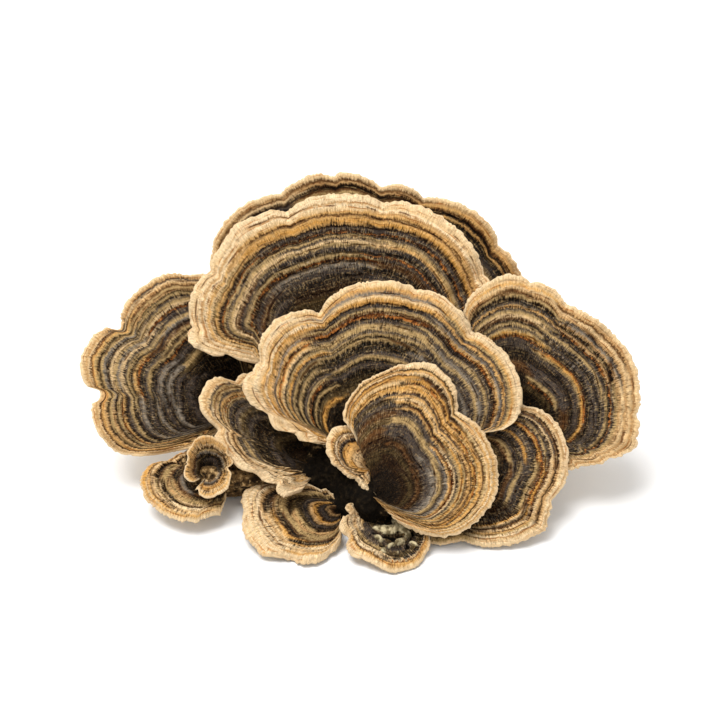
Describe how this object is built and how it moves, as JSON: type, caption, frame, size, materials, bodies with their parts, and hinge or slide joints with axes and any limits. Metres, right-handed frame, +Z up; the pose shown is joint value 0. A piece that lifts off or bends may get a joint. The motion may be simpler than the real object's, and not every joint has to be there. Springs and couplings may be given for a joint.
{
  "type": "turkey tail fungus",
  "caption": "Rosette of turkey tail bracket fungus, its thin zoned and wavy caps fanning out from one woody base that is cut off flat.",
  "frame": {"origin": "middle of the flat cut under the base, where the fungus was cut from its wood", "axes": "+Z up out of the cut, +X along the longest extent to the right of the front view, -Y to the front"},
  "size_m": [0.1315, 0.0759, 0.0619],
  "materials": {
    "cap_flesh": "matte",
    "base_flesh": "matte"
  },
  "bodies": {
    "root": {"base": "base_flesh", "cap_back": "cap_flesh", "cap_upper": "cap_flesh", "cap_middle": "cap_flesh", "cap_front": "cap_flesh", "cap_front_side": "cap_flesh", "cap_inner_left": "cap_flesh", "cap_left": "cap_flesh", "cap_right": "cap_flesh", "cap_right_lower": "cap_flesh", "cap_bottom": "cap_flesh", "cap_bottom_small": "cap_flesh", "cap_lower_left": "cap_flesh", "cap_rosette": "cap_flesh"}
  },
  "joints": []
}
